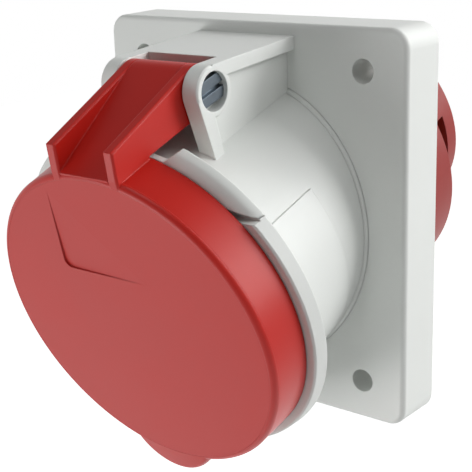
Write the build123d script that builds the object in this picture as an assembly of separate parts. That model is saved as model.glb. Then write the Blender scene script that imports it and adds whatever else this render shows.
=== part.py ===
from build123d import *
from math import acos, cos, degrees, radians, sin, sqrt, tan
import os

# Industrial panel socket, 16 A, five poles, with a sloped nose and a hinged lid.
# Millimetres. Origin: centre of the flange's back face. +X is the viewer's right,
# -Y points out of the panel towards the user, +Z is up.
# Pieces of the nose are drawn in the nose's own frame: its origin is the centre of the mouth,
# x is the row's X, y ("rise") is up across the mouth and z ("height") is outwards.

# Flange
FLANGE_SIDE_MARGIN = 6.0
FLANGE_H = 89.5
FLANGE_T = 12.5
FLANGE_CORNER_R = 4.5
FLANGE_DRAFT = 1.0
FLANGE_EDGE_R = 1.2
FLANGE_PLATE_T = 3.2
SKIRT_T = 3.6
HOLE_SPACING_X = 62.0
HOLE_SPACING_Z = 70.5
HOLE_R = 2.65
HOLE_BOSS_R = 5.2
GASKET_W = 1.6
GASKET_DEPTH = 1.5

# Nose: where its axis leaves the flange, its slope and its length
NOSE_TILT = 17.65
NOSE_DROP = 1.5
NOSE_LENGTH = 33.3
NECK_R = 31.8
NECK_END_GAP = 0.37
MOUTH_R = 28.75
KEYWAY_W = 7.0
KEYWAY_DEPTH = 2.0

# Collar round the mouth: its upper part is stepped back outside a lip, and notched for the lid's arm
COLLAR_CORE_R = 35.3
COLLAR_FRONT_R = 39.1
COLLAR_BACK_R = 39.8
COLLAR_T = 3.3
COLLAR_FLARE_T = 3.6
COLLAR_EDGE = 0.35
COLLAR_LIP_R = 34.0
COLLAR_STEP = 1.85
COLLAR_STEP_RISE = 23.9
COLLAR_NOTCH_FOOT_X = 9.9
COLLAR_NOTCH_TOP_X = 14.1

# Plain plate on the neck's right side
PLATE_RAISE = 0.35
PLATE_FRONT = 6.0
PLATE_BACK = 24.3
PLATE_START_ANGLE = 57.0
PLATE_END_ANGLE = 122.0

# Hinge bracket
PIN_OVER_COLLAR = 3.0
PIN_SETBACK = 17.55
EAR_R = 5.45
EAR_EDGE = 0.35
EAR_OUTER_X = 13.45
EAR_INNER_X = 9.5
BRACKET_WALL_X = 11.5
BRACKET_PLATE_T = 3.0
BRACKET_SLOPE = 5.3
LEG_T = 3.0
LEG_SETBACK = 12.9
SLOT_REAR = 24.8
SLOT_WALL_T = 2.0
PIN_SEAT_T = 1.1

# Hinge pin
PIN_R = 2.0
PIN_HEAD_R = 4.1
PIN_HEAD_RECESS = 1.0
PIN_FLATS = 5.3
PIN_SLOT_W = 1.0
PIN_SLOT_DEPTH = 1.1
PIN_SEAT_FIT = 0.06
RUNNING_FIT = 0.05

# Lid
LID_GAP = 0.3
LID_DEPTH = 10.4
LID_FRONT_R = 36.7
LID_BACK_R = 37.15
LID_FACE_T = 2.5
LID_RIM_T = 2.2
LID_EDGE = 1.4
LID_LAND_T = 3.6
TAB_R = 12.0
TAB_REACH = 41.0
TAB_SETBACK = 2.0
ARM_W = 18.4
ARM_RIB_T = 2.6
ARM_FLOOR_T = 2.0
ARM_HUB_R = 5.3
ARM_FRONT_RISE = 42.2
ARM_FRONT_LEAN = 0.9
ARM_UNDER_RISE = 36.3
ARM_FOOT_RISE = 34.2
ARM_EDGE = 0.4
SPRING_POCKET_W = 9.8
SPRING_POCKET_R = 3.95
SPRING_BAR_T = 1.6
SPRING_BAR_SETBACK = 6.0
FIELD_LEFT_X = -14.8
FIELD_TOP_X = -12.5
FIELD_RIGHT_X = 8.3
FIELD_TOP_RISE = 31.2
FIELD_FOOT_RISE = 12.2
FIELD_CORNER_R = 1.8
FIELD_DEPTH = 0.5

# Lid gasket
SEAL_INNER_R = 30.7
SEAL_OUTER_R = 33.1
SEAL_GROOVE_DEPTH = 1.5
SEAL_GAP = 0.1

# Lid spring
WIRE_R = 0.5
WIRE_SIDES = 6
COIL_R = 3.0
COIL_LENGTH = 7.2
COIL_TURNS = 5.75
SPRING_LEG_FRONT = 13.2
SPRING_LEG_DOWN = 9.6
SPRING_POST_W = 4.0
SPRING_POST_T = 2.0
SPRING_POST_DROP = 6.7

# Contact carrier
CARRIER_R = 24.3
CARRIER_RECESS = 2.5
CARRIER_FACE_T = 2.0
CARRIER_EDGE = 0.8
CARRIER_FOOT_R = 25.8
CARRIER_FOOT_T = 1.4
CARRIER_FIT = 0.1
CARRIER_PLATE_T = 3.5
RING_SEAL_INNER_R = 29.0
RING_SEAL_OUTER_R = 30.7
RING_SEAL_T = 1.4

# Contacts: five on a circle, seen from the front clockwise from the top
CONTACT_CIRCLE_R = 17.0
CONTACT_ANGLES = {"l3": 36.0, "n": 108.0, "pe": 180.0, "l1": 252.0, "l2": 324.0}
POLE_BORE_R = 2.55
EARTH_BORE_R = 3.55
SLEEVE_T = 1.3
SLEEVE_RECESS = 5.5
SLEEVE_SLIT_W = 0.6
SLEEVE_SLIT_LENGTH = 18.0
PIN_ENTRY_FIT = 0.5
CHAMBER_FIT = 0.65
GRIP_SPRING_T = 0.35
GRIP_SPRING_W = 4.0
GRIP_SPRING_SETBACK = 9.0
GRIP_SPRING_GAP = 1.2
SHOULDER_T = 2.0
SHOULDER_FIT = 1.6
STEM_R = 3.2
BLOCK_W = 9.2
BLOCK_L = 19.0
WIRE_BORE_R = 2.6
WIRE_BORE_L = 14.8
DRILL_POINT_ANGLE = 59.0

# Terminal screws
CLAMP_SCREW_R = 2.0
CLAMP_HEAD_R = 3.3
CLAMP_HEAD_T = 2.4
CLAMP_SLOT_W = 0.9
CLAMP_SLOT_DEPTH = 1.2
CLAMP_SETBACK = 8.5
CLAMP_TIP_R = 19.8

# Terminal base: the stepped drum behind the flange
DRUM_R = 36.0
DRUM_L = 14.35
BASE_R = 27.3
BASE_L = 19.3
BASE_WALL_T = 2.2
BASE_EDGE = 0.6
WINDOW_HALF_ANGLE = 29.5
WINDOW_SETBACK = 5.0
WINDOW_L = 11.75
WIRE_ENTRY_R = 3.4
WIRE_ENTRY_CHAMFER = 0.8

# Base screws
BASE_SCREW_ANGLES = (45.0, 135.0, 225.0, 315.0)
BASE_SCREW_CIRCLE_R = 32.3
BASE_SCREW_R = 1.45
BASE_SCREW_BITE = 5.5
BASE_SCREW_HEAD_R = 2.7
BASE_SCREW_HEAD_T = 2.0
BASE_SCREW_SLOT_W = 0.8
BASE_SCREW_SLOT_DEPTH = 1.0
WELL_R = 2.9
WELL_FLOOR_T = 2.5
PILLAR_R = 2.7
SCREW_FIT = 0.05

# Places worked out from the sizes above
TILT_COS = cos(radians(NOSE_TILT))
TILT_SIN = sin(radians(NOSE_TILT))
FLANGE_W = 2 * (DRUM_R + FLANGE_SIDE_MARGIN)
PLATE_BACK_Y = -FLANGE_T + FLANGE_PLATE_T
MOUTH_Y = -FLANGE_T - NOSE_LENGTH * TILT_COS
MOUTH_Z = -NOSE_DROP - NOSE_LENGTH * TILT_SIN
NOSE = Plane(origin=(0, MOUTH_Y, MOUTH_Z), x_dir=(1, 0, 0), z_dir=(0, -TILT_COS, -TILT_SIN))
PIN_HEIGHT = -PIN_SETBACK
LID_FACE = LID_GAP + LID_DEPTH
PIN_RISE = COLLAR_FRONT_R + PIN_OVER_COLLAR
SPRING_POST_TOP = PIN_RISE - SPRING_POST_DROP
NECK_DEPTH = (PLATE_BACK_Y + NECK_END_GAP - MOUTH_Y + DRUM_R * TILT_SIN) / TILT_COS
CARRIER_SEAT = NECK_DEPTH + CARRIER_PLATE_T
DRUM_BACK = CARRIER_SEAT + DRUM_L
BASE_BACK = DRUM_BACK + BASE_L
WINDOW_BACK = BASE_BACK - WINDOW_SETBACK
WINDOW_FRONT = WINDOW_BACK - WINDOW_L
ARM_HALF_W = ARM_W / 2
FAR = 200.0
CUT_OVER = 1.0


def from_nose(rise, height):
    """Row y and z of a point in the nose's plane of symmetry."""
    row_y = MOUTH_Y - height * TILT_COS - rise * TILT_SIN
    row_z = MOUTH_Z - height * TILT_SIN + rise * TILT_COS
    return row_y, row_z


PIN_Y, PIN_Z = from_nose(PIN_RISE, PIN_HEIGHT)


def barrel(radius, low, high):
    """Cylinder on the nose axis between two heights."""
    return Pos(0, 0, low) * Cylinder(radius, high - low, align=(Align.CENTER, Align.CENTER, Align.MIN))


def ring(outer_r, inner_r, low, high):
    return barrel(outer_r, low, high) - barrel(inner_r, low - CUT_OVER, high + CUT_OVER)


def taper(low_r, high_r, low, high):
    """Cone on the nose axis between two heights."""
    return Pos(0, 0, low) * Cone(low_r, high_r, high - low, align=(Align.CENTER, Align.CENTER, Align.MIN))


def cross_bar(radius, low_x, high_x, rise=PIN_RISE, height=PIN_HEIGHT):
    """Cylinder along X between two x values."""
    bar = Cylinder(radius, high_x - low_x, align=(Align.CENTER, Align.CENTER, Align.MIN))
    return Pos(low_x, rise, height) * Rot(0, 90, 0) * bar


def side_slab(outline, half_width):
    """A side outline (rise, height), as thick as twice the half width, centred on the nose."""
    return extrude(Plane.YZ * outline, half_width, both=True)


def side_pair(outline, inner_x, outer_x):
    """The same side outline to the left and to the right, between two distances from the middle."""
    slab = extrude(Plane.YZ * outline, outer_x - inner_x)
    return Pos(inner_x, 0, 0) * slab + Pos(-outer_x, 0, 0) * slab


def sector(start_angle, end_angle, low, high):
    """Wedge about the nose axis, between two angles from the top (clockwise from the front)."""
    middle = (start_angle + end_angle) / 2
    corners = [(0, 0)]
    for angle in (start_angle, middle, end_angle):
        corners.append((FAR * sin(radians(angle)), FAR * cos(radians(angle))))
    wedge = extrude(make_face(Polyline(*corners, close=True)), high - low)
    return Pos(0, 0, low) * wedge


def at_angle(angle, radius, shape):
    """Move a shape drawn on the axis out to a radius, turned by an angle from the top."""
    return Rot(0, 0, -angle) * Pos(0, radius, 0) * shape


def rounded_panel(width, height, corner, low, high):
    """Rounded block between two depths in front of the flange's back face."""
    block = extrude(Plane.XZ * RectangleRounded(width, height, corner), high - low)
    return Pos(0, -low, 0) * block


def hole_places():
    places = []
    for side_x in (-1, 1):
        for side_z in (-1, 1):
            places.append((side_x * HOLE_SPACING_X / 2, side_z * HOLE_SPACING_Z / 2))
    return places


def flange_post(radius, low, high):
    """Four posts at the fixing holes, between two depths in front of the back face."""
    posts = Part()
    for hole_x, hole_z in hole_places():
        post = extrude(Plane.XZ * Pos(hole_x, hole_z) * Circle(radius), high - low)
        posts += Pos(0, -low, 0) * post
    return posts


def make_flange():
    outline = RectangleRounded(FLANGE_W, FLANGE_H, FLANGE_CORNER_R)
    block = extrude(Plane.XZ * outline, FLANGE_T, taper=FLANGE_DRAFT)
    block = fillet(block.faces().sort_by(Axis.Y)[0].edges(), FLANGE_EDGE_R)
    cavity_depth = FLANGE_T - FLANGE_PLATE_T
    cavity = rounded_panel(FLANGE_W - 2 * SKIRT_T, FLANGE_H - 2 * SKIRT_T,
                           FLANGE_CORNER_R - SKIRT_T / 2, -CUT_OVER, cavity_depth)
    return block - cavity + flange_post(HOLE_BOSS_R, 0, cavity_depth)


def gasket_frame(low, high):
    """The frame that runs round the middle of the skirt's back edge."""
    margin = SKIRT_T - GASKET_W
    outer = rounded_panel(FLANGE_W - margin, FLANGE_H - margin, FLANGE_CORNER_R - margin / 2, low, high)
    inner_margin = SKIRT_T + GASKET_W
    inner = rounded_panel(FLANGE_W - inner_margin, FLANGE_H - inner_margin,
                          FLANGE_CORNER_R - inner_margin / 2, low - CUT_OVER, high + CUT_OVER)
    return outer - inner


def collar_notch():
    """Gap in the collar's rim for the lid's arm, with sloping flanks."""
    foot_x = COLLAR_NOTCH_FOOT_X
    foot_rise = sqrt(COLLAR_CORE_R ** 2 - foot_x ** 2)
    top_x = COLLAR_NOTCH_TOP_X
    top_rise = sqrt(COLLAR_FRONT_R ** 2 - top_x ** 2)
    end_x = 2 * top_x - foot_x
    end_rise = 2 * top_rise - foot_rise
    outline = Polyline((-foot_x, foot_rise), (-end_x, end_rise), (-end_x, FAR), (end_x, FAR),
                       (end_x, end_rise), (foot_x, foot_rise), close=True)
    return Pos(0, 0, -COLLAR_T) * extrude(make_face(outline), COLLAR_T)


def make_collar():
    core = barrel(COLLAR_CORE_R, -COLLAR_T, 0)
    core += taper(NECK_R, COLLAR_CORE_R, -COLLAR_T - COLLAR_FLARE_T, -COLLAR_T)
    rim = taper(COLLAR_BACK_R, COLLAR_FRONT_R, -COLLAR_T, 0)
    rim = chamfer(rim.faces().sort_by(Axis.Z)[-1].edges(), COLLAR_EDGE)
    step = ring(FAR, COLLAR_LIP_R, -COLLAR_STEP, CUT_OVER)
    upper = Pos(0, COLLAR_STEP_RISE, 0) * Box(FAR, FAR, FAR, align=(Align.CENTER, Align.MIN, Align.CENTER))
    return core + (rim - collar_notch()) - (step & upper)


def neck_plate():
    low = -PLATE_BACK
    high = -PLATE_FRONT
    sleeve = ring(NECK_R + PLATE_RAISE, NECK_R - PLATE_RAISE, low, high)
    return sleeve & sector(PLATE_START_ANGLE, PLATE_END_ANGLE, low, high)


def screw_pillars():
    """Pillars beside the neck for the base screws, inside the flange only."""
    pillars = Part()
    for angle in BASE_SCREW_ANGLES:
        pillars += at_angle(angle, BASE_SCREW_CIRCLE_R, barrel(PILLAR_R, -NECK_DEPTH, 0))
    inside = Pos(0, PLATE_BACK_Y - FLANGE_PLATE_T / 2, 0) * Box(FAR, FAR, FAR, align=(
        Align.CENTER, Align.MIN, Align.CENTER))
    return (NOSE.location * pillars) & inside


def screw_pilots():
    pilots = Part()
    for angle in BASE_SCREW_ANGLES:
        pilot = barrel(BASE_SCREW_R + SCREW_FIT, -NECK_DEPTH - CUT_OVER, -NECK_DEPTH + BASE_SCREW_BITE)
        pilots += at_angle(angle, BASE_SCREW_CIRCLE_R, pilot)
    return pilots


def bracket_lines():
    """The bracket's top line: where it leaves the ear's round, and its height at the flange."""
    slope = radians(BRACKET_SLOPE)
    ear_y = PIN_Y - EAR_R * sin(slope)
    ear_z = PIN_Z + EAR_R * cos(slope)
    flange_y = PLATE_BACK_Y - FLANGE_PLATE_T / 2
    flange_z = ear_z + (flange_y - ear_y) * tan(slope)
    return (ear_y, ear_z), (flange_y, flange_z)


def make_bracket():
    """Top plate, inset side walls, ears and legs, in the row's frame."""
    ear_point, flange_point = bracket_lines()
    slope = radians(BRACKET_SLOPE)
    drop_y = BRACKET_PLATE_T * sin(slope)
    drop_z = BRACKET_PLATE_T * cos(slope)
    under_ear = (ear_point[0] + drop_y, ear_point[1] - drop_z)
    under_flange = (flange_point[0] + drop_y, flange_point[1] - drop_z)
    plate = make_face(Polyline(ear_point, flange_point, under_flange, under_ear, close=True))
    wall_back = from_nose(MOUTH_R - CUT_OVER, -NECK_DEPTH + CUT_OVER)
    wall_front = from_nose(MOUTH_R - CUT_OVER, -LEG_SETBACK - LEG_T / 2)
    wall = make_face(Polyline((PIN_Y, PIN_Z), under_ear, under_flange, wall_back, wall_front, close=True))
    strip = side_pair(plate, EAR_INNER_X, EAR_OUTER_X)
    leg_back = -LEG_SETBACK - LEG_T
    leg = make_face(Polyline((PIN_RISE, PIN_HEIGHT + EAR_R), (MOUTH_R, -LEG_SETBACK), (MOUTH_R, leg_back),
                             (PIN_RISE, leg_back), close=True))
    legs = NOSE.location * side_pair(leg, EAR_INNER_X, EAR_OUTER_X)
    ear = cross_bar(EAR_R, EAR_INNER_X, EAR_OUTER_X)
    ear = chamfer(ear.faces().sort_by(Axis.X)[-1].edges(), EAR_EDGE)
    ears = NOSE.location * (ear + mirror(ear, about=Plane.YZ))
    walls = side_pair(wall, EAR_INNER_X - CUT_OVER / 10, BRACKET_WALL_X)
    rear_rise = (MOUTH_R + PIN_RISE) / 2
    back_wall = Pos(rear_rise, -SLOT_REAR - SLOT_WALL_T / 2) * Rectangle(PIN_RISE, SLOT_WALL_T)
    back = NOSE.location * side_slab(back_wall, EAR_INNER_X)
    middle = side_slab(plate, EAR_INNER_X)
    slot = NOSE.location * Pos(0, 0, -SLOT_REAR) * Box(ARM_W * 2, FAR, FAR, align=(
        Align.CENTER, Align.CENTER, Align.MIN))
    above = make_face(
        Polyline(ear_point, flange_point, (flange_point[0], FAR), (ear_point[0], FAR), close=True)
    )
    behind = Pos(0, flange_point[0], 0) * Box(FAR, FAR, FAR, align=(Align.CENTER, Align.MIN, Align.CENTER))
    middle = (middle - slot) + (back - side_slab(above, EAR_INNER_X * 2) - behind)
    return strip + legs + ears + walls + middle


def bracket_core():
    """Opening in the flange's plate behind the bracket, as the moulding's core leaves it."""
    ear_point, flange_point = bracket_lines()
    low_z = from_nose(NECK_R, 0)[1] + (flange_point[0] - from_nose(NECK_R, 0)[0]) * TILT_SIN / TILT_COS
    high_z = flange_point[1] - BRACKET_PLATE_T - CUT_OVER / 2
    height = high_z - low_z
    block = Box(2 * EAR_INNER_X - CUT_OVER, FLANGE_PLATE_T + CUT_OVER, height)
    return Pos(0, PLATE_BACK_Y - FLANGE_PLATE_T / 2, low_z + height / 2) * block


def pin_holes():
    """Holes in the two ears: a wide one for the pin's head on the right, with a seat inside it."""
    through = cross_bar(PIN_R + PIN_SEAT_FIT / 2, -EAR_OUTER_X - CUT_OVER, EAR_OUTER_X)
    head = cross_bar(PIN_HEAD_R + PIN_SEAT_FIT, EAR_INNER_X + PIN_SEAT_T, EAR_OUTER_X + CUT_OVER)
    return through + head


def spring_post():
    """Small post on the neck that the spring's fixed leg pushes against."""
    low_rise = MOUTH_R + CUT_OVER
    post = Box(SPRING_POST_W, SPRING_POST_TOP - low_rise, SPRING_POST_T,
               align=(Align.CENTER, Align.MIN, Align.MIN))
    leg_front = PIN_HEIGHT + COIL_R + WIRE_R + RUNNING_FIT
    return Pos(-COIL_LENGTH / 2, low_rise, leg_front) * post


def make_housing():
    neck = barrel(NECK_R, -NECK_DEPTH, 0)
    nose = neck + make_collar() + neck_plate() + spring_post()
    body = make_flange() + NOSE.location * nose + make_bracket() + screw_pillars()
    body -= NOSE.location * (barrel(MOUTH_R, -NECK_DEPTH - CUT_OVER, CUT_OVER) + screw_pilots() + pin_holes())
    keyway = Box(KEYWAY_W, MOUTH_R + KEYWAY_DEPTH, NECK_DEPTH + 2 * CUT_OVER,
                 align=(Align.CENTER, Align.MAX, Align.MAX))
    body -= NOSE.location * Pos(0, 0, CUT_OVER) * keyway
    body -= flange_post(HOLE_R, -CUT_OVER, FLANGE_T + CUT_OVER)
    body -= gasket_frame(0, GASKET_DEPTH)
    body -= bracket_core()
    return body


def make_pin():
    head_end = EAR_OUTER_X - PIN_HEAD_RECESS
    head = cross_bar(PIN_HEAD_R, EAR_INNER_X + PIN_SEAT_T, head_end)
    flats = Pos(0, PIN_RISE, PIN_HEIGHT) * Box(FAR, PIN_FLATS, FAR)
    slot = Pos(head_end, PIN_RISE, PIN_HEIGHT) * Box(2 * PIN_SLOT_DEPTH, PIN_SLOT_W, FAR)
    shank = cross_bar(PIN_R, -EAR_OUTER_X + PIN_HEAD_RECESS / 2, EAR_INNER_X + PIN_SEAT_T)
    return NOSE.location * ((head & flats) - slot + shank)


def arm_outline():
    """Side outline of the lid's arm: foot on the lid's rim, front edge, round end on the pin."""
    hub = Pos(PIN_RISE, PIN_HEIGHT) * Circle(ARM_HUB_R)
    front = make_face(Polyline((ARM_UNDER_RISE, LID_FACE), (ARM_FRONT_RISE, LID_FACE - ARM_FRONT_LEAN),
                               (ARM_UNDER_RISE, LID_GAP), close=True))
    foot = make_face(Polyline((ARM_FOOT_RISE, LID_FACE), (ARM_UNDER_RISE, LID_FACE),
                              (ARM_UNDER_RISE, LID_GAP), (ARM_FOOT_RISE, LID_GAP), close=True))
    return make_hull((hub + front).edges()) + foot


def arm_floor_corners():
    """Band whose outer side leaves the lid's face and runs tangent to the hub."""
    to_foot = Vector(ARM_UNDER_RISE - PIN_RISE, LID_FACE - PIN_HEIGHT)
    turn = acos(ARM_HUB_R / to_foot.length)
    out = to_foot.normalized().rotate(Axis.Z, -degrees(turn))
    foot = Vector(ARM_UNDER_RISE, LID_FACE)
    top = Vector(PIN_RISE, PIN_HEIGHT) + out * ARM_HUB_R
    depth = out * ARM_FLOOR_T
    corners = (foot, top, top - depth, foot - depth)
    return [(corner.X, corner.Y) for corner in corners]


def make_arm():
    outline = arm_outline()
    rib_inner = ARM_HALF_W - ARM_RIB_T
    rib = extrude(Plane.YZ * outline, ARM_RIB_T)
    rib = chamfer(rib.edges() - rib.edges().filter_by(Axis.X), ARM_EDGE)
    ribs = Pos(rib_inner, 0, 0) * rib + Pos(-ARM_HALF_W, 0, 0) * rib
    hub = cross_bar(ARM_HUB_R, -rib_inner, rib_inner)
    pocket = cross_bar(SPRING_POCKET_R, -SPRING_POCKET_W / 2, SPRING_POCKET_W / 2)
    floor = side_slab(make_face(Polyline(*arm_floor_corners(), close=True)), rib_inner) - pocket
    below = Pos(0, PIN_RISE, PIN_HEIGHT) * Box(SPRING_POCKET_W, ARM_HUB_R * 2, SPRING_POCKET_R * 2,
                                               align=(Align.CENTER, Align.MAX, Align.CENTER))
    front_way = Pos(0, PIN_RISE - COIL_R, PIN_HEIGHT) * Box(
        SPRING_POCKET_W, ARM_HUB_R, 2 * ARM_HUB_R, align=(Align.CENTER, Align.CENTER, Align.MIN))
    hub = hub - pocket - below - front_way
    bar_top = PIN_RISE - COIL_R - WIRE_R - RUNNING_FIT
    bar = Box(2 * rib_inner + CUT_OVER, SPRING_BAR_T, SPRING_BAR_T * 2, align=(
        Align.CENTER, Align.MAX, Align.CENTER))
    bar = Pos(0, bar_top, -SPRING_BAR_SETBACK) * bar
    bore = cross_bar(PIN_R + RUNNING_FIT, -ARM_W, ARM_W)
    return ribs + floor + hub + bar - bore


def label_field():
    """Shallow recess in the lid's face: flush along the slanting side and deepest at the corner."""
    top = (FIELD_TOP_X, FIELD_TOP_RISE)
    corner = (FIELD_LEFT_X, FIELD_FOOT_RISE)
    right = (FIELD_RIGHT_X, FIELD_FOOT_RISE)
    field = make_face(Polyline(top, corner, right, close=True))
    field = fillet(field.vertices().sort_by(Axis.X)[0], FIELD_CORNER_R)
    block = extrude(Pos(0, 0, LID_FACE - FIELD_DEPTH) * field, FIELD_DEPTH + CUT_OVER)
    along = Vector(*right) - Vector(*top)
    to_corner = (Vector(*corner) - Vector(*top)).cross(along).length / along.length
    across = Vector(along.Y, -along.X).normalized()
    slope = Vector(across.X, across.Y, -FIELD_DEPTH / to_corner)
    floor_plane = Plane(origin=(*top, LID_FACE), x_dir=along, z_dir=slope.cross(along))
    return split(block, bisect_by=floor_plane, keep=Keep.TOP)


def soft_disc():
    """The lid's outside: a slight cone whose front edge is broken in two steps."""
    edge = LID_EDGE
    small = edge * (1 - cos(radians(45)))
    disc = taper(LID_BACK_R, LID_FRONT_R, LID_GAP, LID_FACE - edge)
    disc += taper(LID_FRONT_R, LID_FRONT_R - small, LID_FACE - edge, LID_FACE - small)
    disc += taper(LID_FRONT_R - small, LID_FRONT_R - edge, LID_FACE - small, LID_FACE)
    return disc


def make_lid():
    tab = Pos(0, TAB_R - TAB_REACH, 0) * barrel(TAB_R, LID_GAP, LID_FACE - TAB_SETBACK)
    cap = soft_disc() + chamfer(tab.faces().sort_by(Axis.Z)[-1].edges(), LID_EDGE / 2)
    inner_r = LID_FRONT_R - LID_RIM_T
    under_face = LID_FACE - LID_FACE_T
    cap -= barrel(inner_r, LID_GAP - CUT_OVER, under_face)
    land = ring(inner_r + CUT_OVER / 2, SEAL_INNER_R - SEAL_GROOVE_DEPTH, under_face - LID_LAND_T, under_face)
    groove_low = under_face - LID_LAND_T
    land -= ring(SEAL_OUTER_R, SEAL_INNER_R, groove_low - CUT_OVER, groove_low + SEAL_GROOVE_DEPTH)
    return NOSE.location * (cap + land + make_arm() - label_field())


def make_lid_gasket():
    top = LID_FACE - LID_FACE_T - LID_LAND_T + SEAL_GROOVE_DEPTH
    return NOSE.location * ring(SEAL_OUTER_R, SEAL_INNER_R, SEAL_GAP, top)


def make_spring():
    """Torsion spring of one wire: front leg on the arm's bar, coil round the pin, rear leg on its post."""
    coil = Helix(COIL_LENGTH / COIL_TURNS, COIL_LENGTH, COIL_R, lefthand=True)
    front_leg = Line((coil @ 0) + Vector(0, SPRING_LEG_FRONT, 0), coil @ 0)
    down_leg = Line(coil @ 1, (coil @ 1) + Vector(SPRING_LEG_DOWN, 0, 0))
    section = Plane(front_leg @ 0, z_dir=front_leg % 0) * RegularPolygon(WIRE_R, WIRE_SIDES)
    wire = sweep(section, path=front_leg + coil + down_leg, transition=Transition.TRANSFORMED)
    coil_frame = Plane(origin=(COIL_LENGTH / 2, PIN_RISE, PIN_HEIGHT), x_dir=(0, -1, 0), z_dir=(-1, 0, 0))
    return NOSE.location * coil_frame.location * wire


def bore_radius(pole):
    return EARTH_BORE_R if pole == "pe" else POLE_BORE_R


def make_carrier():
    """Round insert with a chamber for each contact; its foot is held between plate and base."""
    body = barrel(CARRIER_R, -CARRIER_SEAT, -CARRIER_RECESS)
    body = chamfer(body.faces().sort_by(Axis.Z)[-1].edges(), CARRIER_EDGE)
    body += barrel(CARRIER_FOOT_R, -CARRIER_SEAT, -CARRIER_SEAT + CARRIER_FOOT_T)
    for pole, angle in CONTACT_ANGLES.items():
        bore = bore_radius(pole)
        entry = barrel(bore + PIN_ENTRY_FIT, -CARRIER_SEAT, 0)
        chamber = barrel(
            bore + SLEEVE_T + CHAMBER_FIT, -CARRIER_SEAT - CUT_OVER, -CARRIER_RECESS - CARRIER_FACE_T
        )
        body -= at_angle(angle, CONTACT_CIRCLE_R, entry + chamber)
    return NOSE.location * body


def make_carrier_plate():
    """Ring that closes the back of the neck round the carrier, with the seal's groove."""
    body = ring(DRUM_R, CARRIER_R + CARRIER_FIT, -CARRIER_SEAT, -NECK_DEPTH)
    body -= barrel(CARRIER_FOOT_R + CARRIER_FIT, -CARRIER_SEAT - CUT_OVER, -CARRIER_SEAT + CARRIER_FOOT_T)
    body -= ring(RING_SEAL_OUTER_R, RING_SEAL_INNER_R, -NECK_DEPTH - RING_SEAL_T, -NECK_DEPTH + CUT_OVER)
    for angle in BASE_SCREW_ANGLES:
        hole = barrel(BASE_SCREW_R + SCREW_FIT, -CARRIER_SEAT - CUT_OVER, -NECK_DEPTH + CUT_OVER)
        body -= at_angle(angle, BASE_SCREW_CIRCLE_R, hole)
    return NOSE.location * body


def make_ring_seal():
    return NOSE.location * ring(RING_SEAL_OUTER_R, RING_SEAL_INNER_R, -NECK_DEPTH - RING_SEAL_T, -NECK_DEPTH)


def make_contact(pole):
    """Split sleeve, shoulder on the carrier's back, stem and terminal block, drawn on the axis."""
    bore = bore_radius(pole)
    outer = bore + SLEEVE_T
    block_back = -BASE_BACK + BASE_WALL_T + SCREW_FIT
    block_front = block_back + BLOCK_L
    body = barrel(outer, -CARRIER_SEAT, -SLEEVE_RECESS)
    body -= barrel(bore, -NECK_DEPTH, CUT_OVER)
    slit = Box(SLEEVE_SLIT_W, 2 * outer + CUT_OVER, SLEEVE_SLIT_LENGTH,
               align=(Align.CENTER, Align.CENTER, Align.MAX))
    slit = Pos(0, 0, -SLEEVE_RECESS) * slit
    body = body - slit - Rot(0, 0, 90) * slit
    body += barrel(outer + SHOULDER_FIT, -CARRIER_SEAT - SHOULDER_T, -CARRIER_SEAT)
    body += barrel(STEM_R, block_front, -CARRIER_SEAT - SHOULDER_T)
    block = Box(BLOCK_W, BLOCK_W, BLOCK_L, align=(Align.CENTER, Align.CENTER, Align.MIN))
    body += Pos(0, 0, block_back) * block
    bore_end = block_back + WIRE_BORE_L
    body -= barrel(WIRE_BORE_R, block_back - CUT_OVER, bore_end)
    body -= taper(WIRE_BORE_R, 0, bore_end, bore_end + WIRE_BORE_R / tan(radians(DRILL_POINT_ANGLE)))
    screw_hole = Cylinder(
        CLAMP_SCREW_R + SCREW_FIT / 2, BLOCK_W, align=(Align.CENTER, Align.CENTER, Align.MIN)
    )
    body -= Pos(0, 0, block_back + CLAMP_SETBACK) * Rot(-90, 0, 0) * screw_hole
    return NOSE.location * at_angle(CONTACT_ANGLES[pole], CONTACT_CIRCLE_R, body)


def make_grip_spring(pole):
    """Open spring ring round the split end of the sleeve."""
    inner = bore_radius(pole) + SLEEVE_T + SCREW_FIT / 2
    high = -GRIP_SPRING_SETBACK
    low = high - GRIP_SPRING_W
    band = ring(inner + GRIP_SPRING_T, inner, low, high)
    gap = Pos(0, 0, low) * Box(GRIP_SPRING_GAP, inner * 2, GRIP_SPRING_W, align=(
        Align.CENTER, Align.MAX, Align.MIN))
    return NOSE.location * at_angle(CONTACT_ANGLES[pole], CONTACT_CIRCLE_R, band - gap)


def make_clamp_screw(pole):
    """Terminal screw, pointing at the wire from outside, drawn upwards from its tip."""
    block_back = -BASE_BACK + BASE_WALL_T + SCREW_FIT
    block_top = CONTACT_CIRCLE_R + BLOCK_W / 2
    shank = Cylinder(CLAMP_SCREW_R, block_top - CLAMP_TIP_R, align=(Align.CENTER, Align.CENTER, Align.MIN))
    head = Cylinder(CLAMP_HEAD_R, CLAMP_HEAD_T, align=(Align.CENTER, Align.CENTER, Align.MIN))
    slot = Box(CLAMP_SLOT_W, 2 * CLAMP_HEAD_R, 2 * CLAMP_SLOT_DEPTH)
    screw = shank + Pos(0, 0, block_top - CLAMP_TIP_R) * head
    screw -= Pos(0, 0, block_top - CLAMP_TIP_R + CLAMP_HEAD_T) * slot
    screw = Pos(0, 0, block_back + CLAMP_SETBACK) * Rot(-90, 0, 0) * screw
    return NOSE.location * at_angle(CONTACT_ANGLES[pole], CLAMP_TIP_R, screw)


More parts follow.
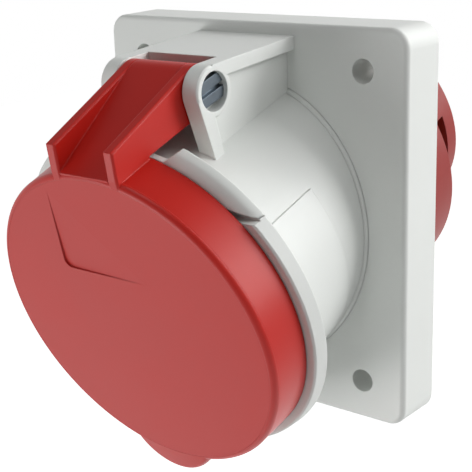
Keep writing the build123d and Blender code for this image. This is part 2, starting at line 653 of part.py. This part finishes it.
def make_base():
    """Stepped drum: a wide skirt on the carrier, a narrow drum with a window for each terminal."""
    body = barrel(DRUM_R, -DRUM_BACK, -CARRIER_SEAT)
    body = chamfer(body.faces().sort_by(Axis.Z)[0].edges(), BASE_EDGE)
    small = barrel(BASE_R, -BASE_BACK, -CARRIER_SEAT)
    small = chamfer(small.faces().sort_by(Axis.Z)[0].edges(), BASE_EDGE)
    body += small
    body -= barrel(BASE_R - BASE_WALL_T, -BASE_BACK + BASE_WALL_T, -CARRIER_SEAT + CUT_OVER)
    for angle in BASE_SCREW_ANGLES:
        bore = barrel(WELL_R, -DRUM_BACK - CUT_OVER, -CARRIER_SEAT - WELL_FLOOR_T)
        hole = barrel(BASE_SCREW_R + SCREW_FIT, -CARRIER_SEAT - WELL_FLOOR_T, -CARRIER_SEAT + CUT_OVER)
        body -= at_angle(angle, BASE_SCREW_CIRCLE_R, bore + hole)
    window_ring = ring(BASE_R + CUT_OVER, BASE_R - 2 * BASE_WALL_T, -WINDOW_BACK, -WINDOW_FRONT)
    for angle in CONTACT_ANGLES.values():
        body -= window_ring & sector(angle - WINDOW_HALF_ANGLE, angle + WINDOW_HALF_ANGLE,
                                     -WINDOW_BACK, -WINDOW_FRONT)
        entry = barrel(WIRE_ENTRY_R, -BASE_BACK - CUT_OVER, -BASE_BACK + BASE_WALL_T + CUT_OVER)
        funnel = taper(WIRE_ENTRY_R + WIRE_ENTRY_CHAMFER, WIRE_ENTRY_R, -BASE_BACK,
                       -BASE_BACK + WIRE_ENTRY_CHAMFER)
        body -= at_angle(angle, CONTACT_CIRCLE_R, entry + funnel)
    return NOSE.location * body


def make_base_screws():
    """Four screws as one group of separate solids."""
    screws = []
    seat = -CARRIER_SEAT - WELL_FLOOR_T
    for angle in BASE_SCREW_ANGLES:
        screw = barrel(BASE_SCREW_R, seat, -NECK_DEPTH + BASE_SCREW_BITE - CUT_OVER / 2)
        screw += barrel(BASE_SCREW_HEAD_R, seat - BASE_SCREW_HEAD_T, seat)
        slot = Box(BASE_SCREW_SLOT_W, 2 * BASE_SCREW_HEAD_R, 2 * BASE_SCREW_SLOT_DEPTH)
        screw -= Pos(0, 0, seat - BASE_SCREW_HEAD_T) * slot
        screws.append(NOSE.location * at_angle(angle, BASE_SCREW_CIRCLE_R, screw))
    return Compound(children=screws)


def make_all():
    nodes = {
        "housing": make_housing(),
        "panel_gasket": gasket_frame(0, GASKET_DEPTH),
        "hinge_pin": make_pin(),
        "lid": make_lid(),
        "lid_gasket": make_lid_gasket(),
        "lid_spring": make_spring(),
        "contact_carrier": make_carrier(),
        "carrier_plate": make_carrier_plate(),
        "carrier_seal": make_ring_seal(),
        "terminal_base": make_base(),
        "base_screws": make_base_screws(),
    }
    for pole in CONTACT_ANGLES:
        nodes["contact_" + pole] = make_contact(pole)
        nodes["grip_spring_" + pole] = make_grip_spring(pole)
        nodes["terminal_screw_" + pole] = make_clamp_screw(pole)
    return nodes


os.makedirs("parts", exist_ok=True)
for node_name, shape in make_all().items():
    export_step(shape, "parts/" + node_name + ".step")
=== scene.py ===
from math import acos, atan2, cos, pi, radians, sin

import bmesh
import bpy
from mathutils import Matrix, Vector


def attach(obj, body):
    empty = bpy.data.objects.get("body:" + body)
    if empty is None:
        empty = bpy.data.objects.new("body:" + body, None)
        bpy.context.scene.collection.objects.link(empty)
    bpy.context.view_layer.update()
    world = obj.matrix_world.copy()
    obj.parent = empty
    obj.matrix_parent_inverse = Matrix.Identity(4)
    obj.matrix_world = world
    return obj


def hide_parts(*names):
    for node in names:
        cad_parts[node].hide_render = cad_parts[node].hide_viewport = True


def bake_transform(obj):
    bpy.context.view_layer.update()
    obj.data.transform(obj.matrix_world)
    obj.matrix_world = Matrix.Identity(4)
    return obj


# Industrial panel socket: looks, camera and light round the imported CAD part.
# Metres, in the row's frame: origin at the centre of the flange's back face, -Y to the user, +Z up.

# Camera, fitted to the photograph: place in metres, angles in degrees, lens in millimetres
CAMERA_PLACE = (0.15633, -0.21322, 0.07085)
CAMERA_AZIMUTH = 37.91
CAMERA_ELEVATION = 15.56
CAMERA_PAN = -0.77
CAMERA_TILT = -1.19
CAMERA_ROLL = -1.70
CAMERA_LENS = 85.48
CAMERA_SENSOR = 36.0
CAMERA_NEAR = 0.01

# The nose's frame, as in the CAD: its mouth's centre and its slope
MOUTH_Y = -0.044233
MOUTH_Z = -0.011597
NOSE_TILT = radians(17.65)
NOSE_RISE = Vector((0, -sin(NOSE_TILT), cos(NOSE_TILT)))
NOSE_OUT = Vector((0, -cos(NOSE_TILT), -sin(NOSE_TILT)))

# Studio: a white world, a floor and soft boxes (name, azimuth and elevation in degrees, watts)
WORLD_STRENGTH = 0.15
SKY_HEIGHTS = (0.25, 0.6)
SKY_LEVELS = (1.0, 0.25)
FLOOR_Z = -0.62
FLOOR_GLOW = 0.9
FLOOR_HALF_SIZE = 3.0
FLOOR_GREY = 0.86
FLOOR_ROUGHNESS = 0.9
LAMP_SIZE = 0.5
LAMP_DISTANCE = 1.0
LAMP_TARGET = Vector((0, -0.02, 0))
LAMPS = (
    ("key", 35, 20, 6.0),
    ("back", 60, 38, 3.0),
    ("right", 10, 38, 2.0),
    ("fill_low", -120, -20, 4.3),
    ("front_high", -100, 65, 1.6),
)

# Hinge spring
PIN_RISE = 0.0421
PIN_HEIGHT = -0.01755
WIRE_R = 0.0005
COIL_R = 0.003
COIL_LENGTH = 0.0072
COIL_TURNS = 5.75
COIL_STEPS_PER_TURN = 32
SPRING_LEG_FRONT = 0.0132
SPRING_LEG_DOWN = 0.0096
WIRE_ROUNDNESS = 4

# Lid's face: its soft front edge, and the lifting tab's face, flush with the lid's.
# SKIN is the little by which a piece stands off the solid that it covers.
LID_FACE = 0.0107
LID_FRONT_R = 0.0367
LID_EDGE = 0.0014
LID_EDGE_STEPS = 8
LID_STEPS = 240
TAB_R = 0.012
TAB_CENTRE = -0.029
TAB_INNER_R = 0.0345
TAB_BACK = 0.0079
TAB_SETBACK = 0.002
TAB_INSET = 0.0011
TAB_EDGE_STEPS = 6
TAB_OUTER_STEPS = 48
TAB_INNER_STEPS = 24
SKIN = 0.00001

# Collar: the bevel above its step, which fills the step's front. The notch's angles are in degrees.
COLLAR_LIP_R = 0.034
COLLAR_CORE_R = 0.0353
COLLAR_FRONT_R = 0.0391
COLLAR_STEP = 0.00185
COLLAR_STEP_RISE = 0.0239
BEVEL_FRONT_R = 0.0372
BEVEL_MIDDLE_R = 0.03952
BEVEL_BACK_R = 0.03985
BEVEL_BACK = -0.00332
BEVEL_END_IN = 0.0023
BEVEL_END_OUT = 0.0004
BEVEL_BULGE = 0.00015
BEVEL_STEPS = 4
BEVEL_LENGTH_STEPS = 32
BEVEL_SHARP = 40.0
NOTCH_FOOT = 16.3
NOTCH_TOP = 21.1

# Neck's root: a small fillet where it leaves the flange. Its angles are in degrees.
NECK_R = 0.0318
FLANGE_FRONT_Y = -0.0125
ROOT_FILLET = 0.0008
ROOT_START = 20.5
ROOT_SUNK = 0.0004
ROOT_PARTS = (0.0, 0.15, 0.35, 0.5, 0.65, 0.85, 1.0)
ROOT_STEPS = 160
ROOT_SHARP = 60.0

# Angle between faces, in degrees, past which an edge of a piece is sharp
SHARP = 35.0

# Rays that the round-edge shading takes at each point
ROUND_EDGE_RAYS = 6

# Materials. A pattern is its scale per metre, detail and roughness.
# A relief is its depth in metres and its strength.
# A range is what a pattern adds to the roughness, and a pair of shades what it multiplies the colour by.
PLASTIC_CLOUD = (38.0, 3.0, 0.55)
PLASTIC_GRAIN = (2600.0, 2.0, 0.7)
PLASTIC_GRAIN_STRENGTH = 0.6
PLASTIC_FLOW = (120.0, 1.0)
PLASTIC_FLOW_RELIEF = (0.00002, 0.5)
PLASTIC_SHADES = (0.965, 1.03)
PLASTIC_RANGE = (-0.04, 0.05)
RUBBER_BLOOM = (160.0, 4.0, 0.6)
RUBBER_GRAIN = (3000.0,)
RUBBER_RELIEF = (0.00003, 0.6)
RUBBER_PALE = 1.7
RUBBER_ROUGHNESS = (0.62, 0.82)
METAL_LINES = (900.0, 3.0, 0.6)
METAL_STAIN = (220.0, 3.0, 0.6)
METAL_RELIEF = (0.00002, 0.5)
METAL_SHADES = (0.82, 1.08)
METAL_RANGE = (-0.08, 0.14)


def in_nose(x, rise, height):
    """Row point of a point in the nose's frame."""
    return Vector((x, MOUTH_Y, MOUTH_Z)) + NOSE_RISE * rise + NOSE_OUT * height


def new_material(name):
    material = bpy.data.materials.new(name)
    material.use_nodes = True
    return material


class Nodes:
    """Small helper that adds and links shader nodes in one material."""

    def __init__(self, material):
        self.tree = material.node_tree
        self.shader = self.tree.nodes["Principled BSDF"]
        self.place = self.add("ShaderNodeTexCoord").outputs["Object"]

    def add(self, kind, **inputs):
        node = self.tree.nodes.new(kind)
        for name, value in inputs.items():
            socket = node.inputs[name.replace("_", " ")]
            if isinstance(value, bpy.types.NodeSocket):
                self.tree.links.new(value, socket)
            else:
                socket.default_value = value
        return node

    def link(self, output, target):
        self.tree.links.new(output, target)

    def noise(self, scale, detail=2.0, roughness=0.5, vector=None):
        node = self.add("ShaderNodeTexNoise", Scale=scale, Detail=detail, Roughness=roughness)
        self.link(vector or self.place, node.inputs["Vector"])
        return node.outputs["Fac"]

    def spread(self, value, low, high):
        """Maps 0..1 to low..high."""
        node = self.add("ShaderNodeMapRange", Value=value, To_Min=low, To_Max=high)
        return node.outputs["Result"]

    def tint(self, factor, first, second):
        node = self.tree.nodes.new("ShaderNodeMix")
        node.data_type = "RGBA"
        self.link(factor, node.inputs["Factor"])
        node.inputs["A"].default_value = (*first, 1)
        node.inputs["B"].default_value = (*second, 1)
        return node.outputs["Result"]

    def stretched(self, scale):
        node = self.add("ShaderNodeMapping", Vector=self.place)
        node.inputs["Scale"].default_value = scale
        return node.outputs["Vector"]

    def bump(self, height, distance, strength=1.0, normal=None):
        node = self.add("ShaderNodeBump", Height=height, Distance=distance, Strength=strength)
        if normal:
            self.link(normal, node.inputs["Normal"])
        return node.outputs["Normal"]

    def rounded(self, radius):
        """Normal that rounds the sharp edges of a moulded or turned piece."""
        node = self.add("ShaderNodeBevel", Radius=radius)
        node.samples = ROUND_EDGE_RAYS
        return node.outputs["Normal"]


def shade(colour, factor):
    """A colour made darker or lighter by a factor."""
    return tuple(min(1.0, channel * factor) for channel in colour)


def shades(colour, factors):
    """The two ends of a colour's variation."""
    return [shade(colour, factor) for factor in factors]


def around(value, changes):
    """The two ends of a number's variation."""
    return [value + change for change in changes]


def moulded_plastic(name, colour, roughness, grain, edge, gloss=0.5):
    """Injection-moulded plastic: faint flow clouds, fine spark-eroded grain and soft edges."""
    material = new_material(name)
    nodes = Nodes(material)
    cloud = nodes.noise(*PLASTIC_CLOUD)
    speck = nodes.noise(*PLASTIC_GRAIN)
    nodes.link(nodes.tint(cloud, *shades(colour, PLASTIC_SHADES)), nodes.shader.inputs["Base Color"])
    nodes.link(nodes.spread(cloud, *around(roughness, PLASTIC_RANGE)), nodes.shader.inputs["Roughness"])
    soft_edge = nodes.rounded(edge)
    flow = nodes.bump(nodes.noise(*PLASTIC_FLOW), *PLASTIC_FLOW_RELIEF, soft_edge)
    nodes.link(nodes.bump(speck, grain, PLASTIC_GRAIN_STRENGTH, flow), nodes.shader.inputs["Normal"])
    nodes.shader.inputs["Specular IOR Level"].default_value = gloss
    return material


def rubber(name, colour):
    """Matt sealing rubber with a faint grey bloom."""
    material = new_material(name)
    nodes = Nodes(material)
    bloom = nodes.noise(*RUBBER_BLOOM)
    nodes.link(nodes.tint(bloom, colour, shade(colour, RUBBER_PALE)), nodes.shader.inputs["Base Color"])
    nodes.link(nodes.spread(bloom, *RUBBER_ROUGHNESS), nodes.shader.inputs["Roughness"])
    nodes.link(nodes.bump(nodes.noise(*RUBBER_GRAIN), *RUBBER_RELIEF), nodes.shader.inputs["Normal"])
    return material


def worked_metal(name, colour, roughness, stretch, edge):
    """Turned, drawn or ground metal: fine lines along one direction, and a little staining."""
    material = new_material(name)
    nodes = Nodes(material)
    lines = nodes.noise(*METAL_LINES, nodes.stretched(stretch))
    stain = nodes.noise(*METAL_STAIN)
    nodes.link(nodes.tint(stain, *shades(colour, METAL_SHADES)), nodes.shader.inputs["Base Color"])
    nodes.link(nodes.spread(lines, *around(roughness, METAL_RANGE)), nodes.shader.inputs["Roughness"])
    nodes.link(nodes.bump(lines, *METAL_RELIEF, nodes.rounded(edge)), nodes.shader.inputs["Normal"])
    nodes.shader.inputs["Metallic"].default_value = 1.0
    return material


# Colours are linear red, green and blue. A roughness follows, then grain depths and edge radii in metres.
GREY_PLASTIC = moulded_plastic("grey_plastic", (0.78, 0.80, 0.775), 0.46, 0.000012, 0.00035)
RED_PLASTIC = moulded_plastic("red_plastic", (0.51, 0.010, 0.004), 0.40, 0.000010, 0.0004, 0.38)
INSERT_PLASTIC = moulded_plastic("insert_plastic", (0.27, 0.012, 0.007), 0.46, 0.000012, 0.0003, 0.38)
SEAL_RUBBER = rubber("seal_rubber", (0.018, 0.018, 0.019))
BRASS = worked_metal("contact_brass", (0.74, 0.53, 0.24), 0.30, (1, 0.08, 1), 0.00015)
PIN_STEEL = worked_metal("pin_steel", (0.165, 0.195, 0.225), 0.36, (0.08, 1, 1), 0.00015)
SCREW_STEEL = worked_metal("screw_steel", (0.62, 0.63, 0.62), 0.32, (1, 1, 1), 0.0001)
SPRING_STEEL = worked_metal("spring_steel", (0.50, 0.51, 0.53), 0.28, (1, 0.2, 0.2), 0.0001)

NODE_LOOKS = {
    "housing": GREY_PLASTIC,
    "lid": RED_PLASTIC,
    "terminal_base": INSERT_PLASTIC,
    "contact_carrier": INSERT_PLASTIC,
    "carrier_plate": INSERT_PLASTIC,
    "hinge_pin": PIN_STEEL,
    "base_screws": SCREW_STEEL,
    "panel_gasket": SEAL_RUBBER,
    "lid_gasket": SEAL_RUBBER,
    "carrier_seal": SEAL_RUBBER,
}
POLES = ("l1", "l2", "l3", "n", "pe")


def dress_nodes(nodes):
    """Give each CAD node that shows its material."""
    looks = dict(NODE_LOOKS)
    for pole in POLES:
        looks["contact_" + pole] = BRASS
        looks["grip_spring_" + pole] = SPRING_STEEL
        looks["terminal_screw_" + pole] = SCREW_STEEL
    for name, material in looks.items():
        for material_slot in nodes[name].material_slots:
            material_slot.material = material


def spring_points():
    """The wire's centre line: front leg, coil round the pin, leg down to the post."""
    x = COIL_LENGTH / 2
    points = [in_nose(x, PIN_RISE - COIL_R, PIN_HEIGHT + SPRING_LEG_FRONT)]
    steps = int(COIL_TURNS * COIL_STEPS_PER_TURN)
    for step in range(steps + 1):
        angle = 2 * pi * COIL_TURNS * step / steps
        points.append(in_nose(x - COIL_LENGTH * step / steps,
                              PIN_RISE - COIL_R * cos(angle), PIN_HEIGHT - COIL_R * sin(angle)))
    points.append(in_nose(-x, PIN_RISE - SPRING_LEG_DOWN, PIN_HEIGHT + COIL_R))
    return points


def make_spring():
    """The wound wire between the bracket and the arm, built in place of the CAD spring, which is hidden."""
    curve = bpy.data.curves.new("lid_spring_wire", "CURVE")
    curve.dimensions = "3D"
    curve.bevel_depth = WIRE_R
    curve.bevel_resolution = WIRE_ROUNDNESS
    curve.use_fill_caps = True
    points = spring_points()
    spline = curve.splines.new("POLY")
    spline.points.add(len(points) - 1)
    for spline_point, point in zip(spline.points, points):
        spline_point.co = (*point, 1)
    wire = bpy.data.objects.new("lid_spring_curve", curve)
    bpy.context.collection.objects.link(wire)
    mesh = bpy.data.meshes.new_from_object(wire.evaluated_get(bpy.context.evaluated_depsgraph_get()))
    bpy.data.objects.remove(wire)
    piece = bpy.data.objects.new("lid_spring_wire", mesh)
    bpy.context.collection.objects.link(piece)
    for polygon in mesh.polygons:
        polygon.use_smooth = True
    mesh.materials.clear()
    mesh.materials.append(SPRING_STEEL)
    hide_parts("lid_spring")
    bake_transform(piece)


def new_piece(name, mesh, material, body, sharp=SHARP):
    """Wrap a finished mesh as a piece that rides on a body."""
    mesh.set_sharp_from_angle(angle=radians(sharp))
    for polygon in mesh.polygons:
        polygon.use_smooth = True
    mesh.materials.append(material)
    piece = bpy.data.objects.new(name, mesh)
    bpy.context.collection.objects.link(piece)
    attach(piece, body)


def loft(name, rows, closed=False):
    """Mesh through rows of points. Each row is a closed outline; the first and last are capped."""
    build = bmesh.new()
    rings = [[build.verts.new(point) for point in row] for row in rows]
    count = len(rings[0])
    pairs = list(zip(rings, rings[1:]))
    if closed:
        pairs.append((rings[-1], rings[0]))
    for first, second in pairs:
        for i in range(count):
            j = (i + 1) % count
            build.faces.new((first[i], first[j], second[j], second[i]))
    if not closed:
        build.faces.new(rings[0][::-1])
        build.faces.new(rings[-1])
    bmesh.ops.recalc_face_normals(build, faces=build.faces)
    mesh = bpy.data.meshes.new(name)
    build.to_mesh(mesh)
    build.free()
    return mesh


def on_nose(radius, angle, height):
    """Row point at a radius and an angle from the top, clockwise from the front."""
    return in_nose(radius * sin(angle), radius * cos(angle), height)


def make_lid_edge():
    """The round front edge of the lid, over the two bevels of its solid."""
    middle_r, middle_h = LID_FRONT_R - LID_EDGE, LID_FACE - LID_EDGE
    outline = [(middle_r, LID_FACE - 3 * SKIN), (middle_r, middle_h), (LID_FRONT_R - 3 * SKIN, middle_h)]
    reach = LID_EDGE + SKIN
    for step in range(LID_EDGE_STEPS + 1):
        turn = pi / 2 * (1 - step / LID_EDGE_STEPS)
        outline.append((middle_r + reach * sin(turn), middle_h + reach * cos(turn)))
    rows = [[on_nose(r, 2 * pi * step / LID_STEPS, h) for r, h in outline] for step in range(LID_STEPS)]
    new_piece("lid_edge", loft("lid_edge", rows, True), RED_PLASTIC, "lid")


def make_tab_face():
    """Front of the lifting tab, flush with the lid's face."""
    cos_end = (TAB_INNER_R ** 2 - TAB_CENTRE ** 2 - TAB_R ** 2) / (-2 * TAB_CENTRE * TAB_R)
    end = acos(cos_end)
    outer = []
    for step in range(TAB_OUTER_STEPS + 1):
        turn = -end + 2 * end * step / TAB_OUTER_STEPS
        outer.append((TAB_R * sin(turn), TAB_CENTRE - TAB_R * cos(turn)))
    inner_end = atan2(outer[-1][0], -outer[-1][1])
    inner = []
    for step in range(1, TAB_INNER_STEPS):
        turn = inner_end - 2 * inner_end * step / TAB_INNER_STEPS
        inner.append((TAB_INNER_R * sin(turn), -TAB_INNER_R * cos(turn)))
    profile = [(0.0, TAB_BACK), (0.0, LID_FACE - TAB_SETBACK)]
    for step in range(1, TAB_EDGE_STEPS + 1):
        turn = pi / 2 * step / TAB_EDGE_STEPS
        profile.append((TAB_INSET * (1 - cos(turn)), LID_FACE - TAB_SETBACK * (1 - sin(turn))))
    rows = []
    for inset, height in profile:
        scale = (TAB_R - inset) / TAB_R
        row = [(x * scale, TAB_CENTRE + (rise - TAB_CENTRE) * scale) for x, rise in outer] + inner
        rows.append([in_nose(x, rise, height - SKIN) for x, rise in row])
    new_piece("tab_face", loft("tab_face", rows), RED_PLASTIC, "lid")


def make_collar_bevel(name, side):
    """Bevelled upper part of the collar's rim, between the arm's notch and the step."""
    outline = [(COLLAR_LIP_R, BEVEL_BACK), (COLLAR_LIP_R, -SKIN)]
    for step in range(BEVEL_STEPS + 1):
        part = step / BEVEL_STEPS
        bulge = BEVEL_BULGE * sin(pi * part)
        outline.append((BEVEL_FRONT_R + (BEVEL_MIDDLE_R - BEVEL_FRONT_R) * part + bulge,
                        -SKIN - COLLAR_STEP * part + bulge))
    outline.append((BEVEL_BACK_R, BEVEL_BACK))
    rows = []
    for step in range(BEVEL_LENGTH_STEPS + 1):
        row = []
        for r, h in outline:
            notch = (r - COLLAR_CORE_R) / (COLLAR_FRONT_R - COLLAR_CORE_R)
            start = radians(NOTCH_FOOT + (NOTCH_TOP - NOTCH_FOOT) * max(notch, 0.0))
            slant = (BEVEL_MIDDLE_R - r) / (BEVEL_MIDDLE_R - BEVEL_FRONT_R)
            end_rise = COLLAR_STEP_RISE + BEVEL_END_OUT + BEVEL_END_IN * min(max(slant, 0.0), 1.0)
            stop = acos(end_rise / r)
            row.append(on_nose(r, side * (start + (stop - start) * step / BEVEL_LENGTH_STEPS), h))
        rows.append(row)
    new_piece(name, loft(name, rows), GREY_PLASTIC, "socket", BEVEL_SHARP)


def make_root_fillet():
    """Small fillet round the neck's foot, from one side of the bracket to the other."""
    rows = []
    for step in range(ROOT_STEPS + 1):
        angle = radians(ROOT_START + (360 - 2 * ROOT_START) * step / ROOT_STEPS)
        rise = NECK_R * cos(angle)
        height = (MOUTH_Y - FLANGE_FRONT_Y - rise * sin(NOSE_TILT)) / cos(NOSE_TILT)
        corner = on_nose(NECK_R, angle, height)
        away = Vector((sin(angle), 0, 0)) + NOSE_RISE * cos(angle)
        along_flange = Vector((away.x, 0, away.z)).normalized()
        up_neck = corner + NOSE_OUT * ROOT_FILLET
        on_flange = corner + along_flange * ROOT_FILLET
        row = [corner - along_flange * ROOT_SUNK + Vector((0, ROOT_SUNK, 0))]
        for part in ROOT_PARTS:
            row.append(up_neck * (1 - part) ** 2 + corner * 2 * part * (1 - part) + on_flange * part ** 2)
        rows.append(row)
    new_piece("root_fillet", loft("root_fillet", rows), GREY_PLASTIC, "socket", ROOT_SHARP)


def make_camera():
    """Camera turned to its azimuth and elevation, then panned, tilted and rolled a little."""
    azimuth, elevation = radians(CAMERA_AZIMUTH), radians(CAMERA_ELEVATION)
    back = Vector((sin(azimuth) * cos(elevation), -cos(azimuth) * cos(elevation), sin(elevation)))
    right = Vector((cos(azimuth), sin(azimuth), 0))
    up = back.cross(right)
    pan, tilt, roll = radians(CAMERA_PAN), radians(CAMERA_TILT), radians(CAMERA_ROLL)
    right, back = right * cos(pan) + back * sin(pan), back * cos(pan) - right * sin(pan)
    up, back = up * cos(tilt) + back * sin(tilt), back * cos(tilt) - up * sin(tilt)
    right, up = right * cos(roll) + up * sin(roll), up * cos(roll) - right * sin(roll)
    data = bpy.data.cameras.new("camera")
    data.lens = CAMERA_LENS
    data.sensor_width = CAMERA_SENSOR
    data.clip_start = CAMERA_NEAR
    camera = bpy.data.objects.new("camera", data)
    bpy.context.collection.objects.link(camera)
    camera.matrix_world = Matrix.Translation(CAMERA_PLACE) @ Matrix((right, up, back)).transposed().to_4x4()
    bpy.context.scene.camera = camera


def make_lamp(name, azimuth, elevation, power):
    """Square soft box that looks at the object. Azimuth runs from +X towards +Y, in degrees."""
    data = bpy.data.lights.new(name, "AREA")
    data.shape = "SQUARE"
    data.size = LAMP_SIZE
    data.energy = power
    lamp = bpy.data.objects.new(name, data)
    bpy.context.collection.objects.link(lamp)
    turn, rise = radians(azimuth), radians(elevation)
    towards = Vector((cos(rise) * cos(turn), cos(rise) * sin(turn), sin(rise)))
    lamp.location = LAMP_TARGET + towards * LAMP_DISTANCE
    lamp.rotation_euler = towards.to_track_quat("Z", "Y").to_euler()


def background_seen(nodes, tree):
    """1 for camera, glossy and transmission rays, which see the background, and 0 for the rest."""
    path = nodes.new("ShaderNodeLightPath")
    seen = path.outputs["Is Camera Ray"]
    for kind in ("Is Glossy Ray", "Is Transmission Ray"):
        either = nodes.new("ShaderNodeMath")
        either.operation = "MAXIMUM"
        tree.links.new(seen, either.inputs[0])
        tree.links.new(path.outputs[kind], either.inputs[1])
        seen = either.outputs[0]
    return seen


def sky_colour(tree):
    """White round the horizon and darker overhead, as in a studio with a white backdrop."""
    coords = tree.nodes.new("ShaderNodeTexCoord")
    split = tree.nodes.new("ShaderNodeSeparateXYZ")
    ramp = tree.nodes.new("ShaderNodeValToRGB")
    tree.links.new(coords.outputs["Generated"], split.inputs[0])
    tree.links.new(split.outputs["Z"], ramp.inputs["Fac"])
    for element, height, level in zip(ramp.color_ramp.elements, SKY_HEIGHTS, SKY_LEVELS):
        element.position = height
        element.color = (level, level, level, 1)
    return ramp.outputs["Color"]


def make_world():
    """Dim white light from all round, behind which the camera and reflections see the backdrop."""
    world = bpy.data.worlds.new("studio")
    bpy.context.scene.world = world
    world.use_nodes = True
    tree = world.node_tree
    tree.nodes.clear()
    output = tree.nodes.new("ShaderNodeOutputWorld")
    room = tree.nodes.new("ShaderNodeBackground")
    room.inputs["Strength"].default_value = WORLD_STRENGTH
    room.inputs["Color"].default_value = (1, 1, 1, 1)
    seen = tree.nodes.new("ShaderNodeBackground")
    tree.links.new(sky_colour(tree), seen.inputs["Color"])
    mix = tree.nodes.new("ShaderNodeMixShader")
    tree.links.new(background_seen(tree.nodes, tree), mix.inputs["Fac"])
    tree.links.new(room.outputs[0], mix.inputs[1])
    tree.links.new(seen.outputs[0], mix.inputs[2])
    tree.links.new(mix.outputs[0], output.inputs["Surface"])


def make_floor():
    """Pale floor far below, which looks white and keeps the object's shadow."""
    mesh = bpy.data.meshes.new("floor")
    build = bmesh.new()
    bmesh.ops.create_grid(build, x_segments=1, y_segments=1, size=FLOOR_HALF_SIZE)
    build.to_mesh(mesh)
    build.free()
    floor = bpy.data.objects.new("floor", mesh)
    bpy.context.collection.objects.link(floor)
    floor.location = (0, 0, FLOOR_Z)
    material = new_material("floor_white")
    nodes = Nodes(material)
    nodes.shader.inputs["Base Color"].default_value = (FLOOR_GREY, FLOOR_GREY, FLOOR_GREY, 1)
    nodes.shader.inputs["Roughness"].default_value = FLOOR_ROUGHNESS
    nodes.shader.inputs["Emission Color"].default_value = (1, 1, 1, 1)
    seen = background_seen(nodes.tree.nodes, nodes.tree)
    nodes.link(nodes.spread(seen, 0.0, FLOOR_GLOW), nodes.shader.inputs["Emission Strength"])
    mesh.materials.append(material)


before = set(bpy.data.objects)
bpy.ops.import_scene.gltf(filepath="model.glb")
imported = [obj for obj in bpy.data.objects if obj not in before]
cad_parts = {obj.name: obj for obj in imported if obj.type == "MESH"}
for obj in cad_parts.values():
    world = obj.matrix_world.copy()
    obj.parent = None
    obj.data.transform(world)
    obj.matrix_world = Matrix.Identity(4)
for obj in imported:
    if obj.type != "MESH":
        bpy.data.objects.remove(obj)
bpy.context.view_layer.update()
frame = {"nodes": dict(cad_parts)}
make_camera()
dress_nodes(frame["nodes"])
make_spring()
make_lid_edge()
make_tab_face()
make_collar_bevel("collar_bevel_right", 1)
make_collar_bevel("collar_bevel_left", -1)
make_root_fillet()
make_world()
make_floor()
for lamp_name, lamp_azimuth, lamp_elevation, lamp_power in LAMPS:
    make_lamp(lamp_name, lamp_azimuth, lamp_elevation, lamp_power)
bpy.context.scene.view_settings.view_transform = "Standard"
